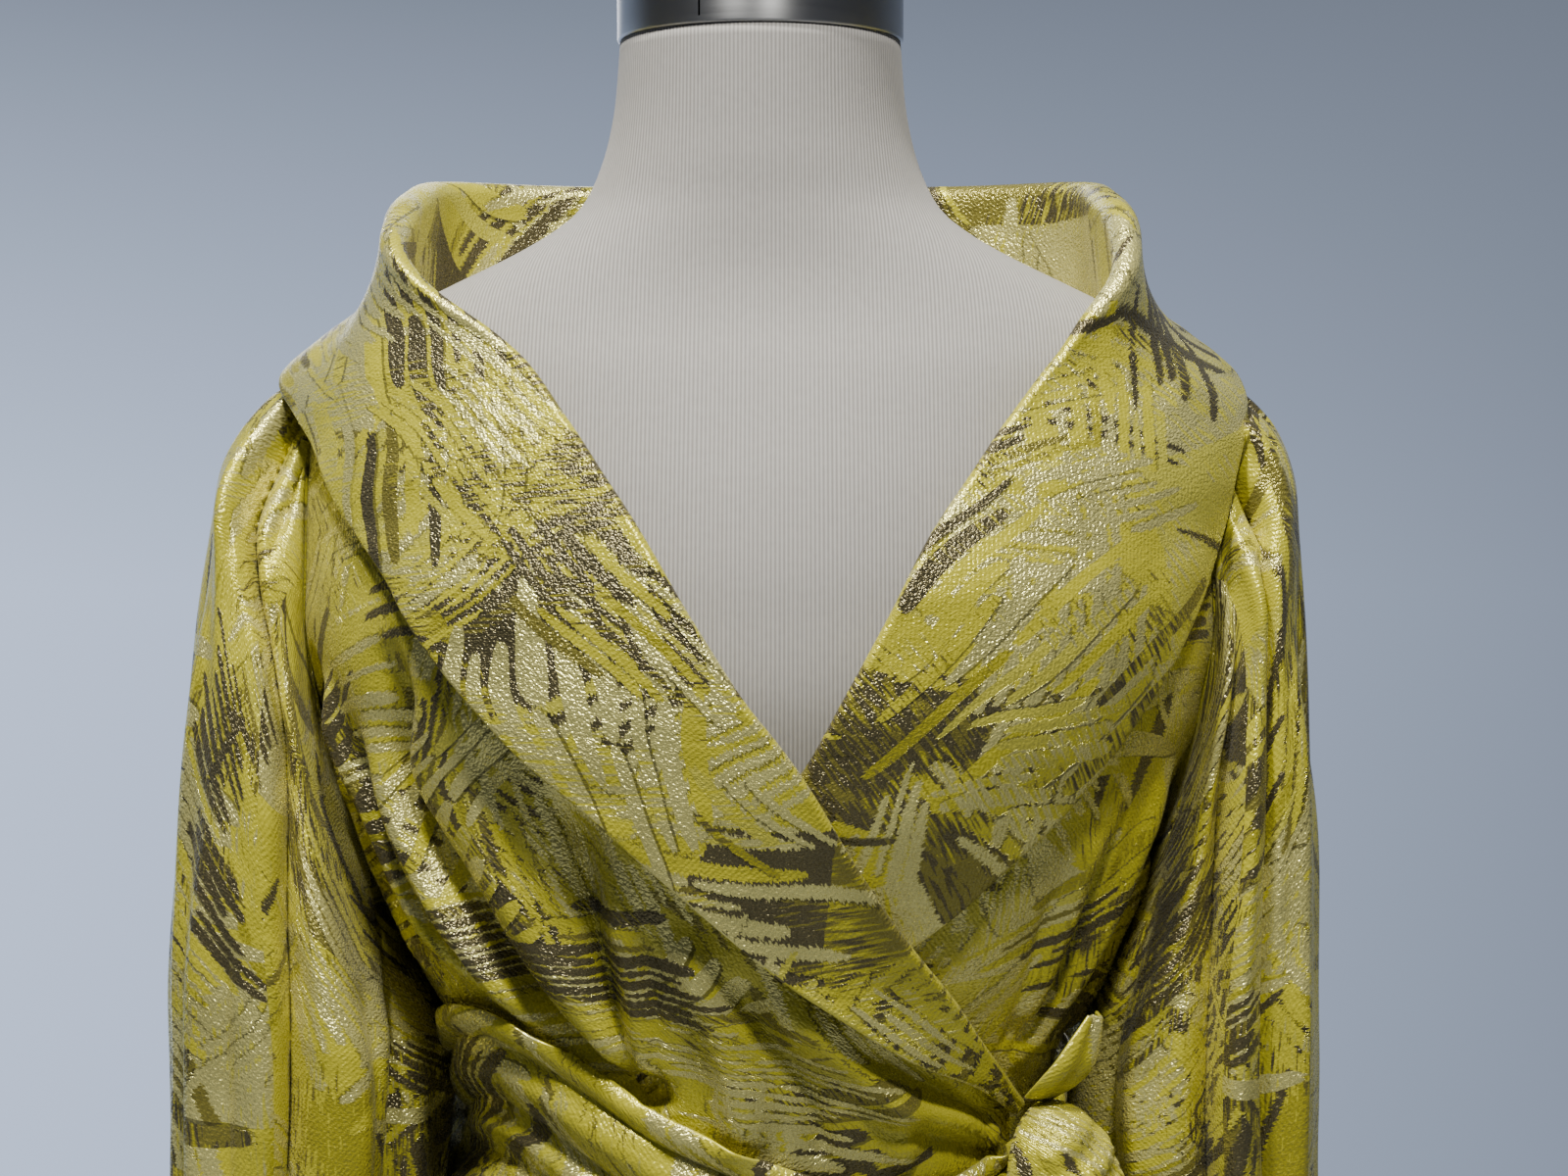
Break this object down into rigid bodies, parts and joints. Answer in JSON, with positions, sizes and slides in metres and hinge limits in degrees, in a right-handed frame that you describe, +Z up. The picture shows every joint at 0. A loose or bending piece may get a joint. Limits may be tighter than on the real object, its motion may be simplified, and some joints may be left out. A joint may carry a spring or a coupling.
{
  "type": "evening gown on a dress form",
  "caption": "Wrap evening gown with a standing shawl collar, full gathered sleeves and a tied sash, dressed on a limbless form with a round stand.",
  "frame": {"origin": "middle of the stand base's underside, on the floor", "axes": "+Z up, -Y the gown's front, +X the wearer's left"},
  "size_m": [0.7626, 0.7439, 1.5536],
  "materials": {
    "brocade": "metallic jacquard in yellow, gold, taupe and cream",
    "linen_cover": "off-white, finely ribbed",
    "brushed_steel": "brushed round the cap",
    "black_enamel": "satin enamel"
  },
  "bodies": {
    "root": {"bodice_back": "brocade", "bodice_front_over": "brocade", "bodice_front_under": "brocade", "collar_over": "brocade", "collar_under": "brocade", "sleeve_right": "brocade", "sleeve_left": "brocade", "cuff_right": "brocade", "cuff_left": "brocade", "skirt_back": "brocade", "skirt_front_over": "brocade", "skirt_front_under": "brocade", "sash_band": "brocade", "sash_knot": "brocade", "sash_upper_end": "brocade", "sash_long_tail": "brocade", "sash_short_tail": "brocade", "form_torso": "linen_cover", "neck_cap": "brushed_steel", "stand_pole": "black_enamel", "stand_base": "black_enamel"}
  },
  "joints": []
}
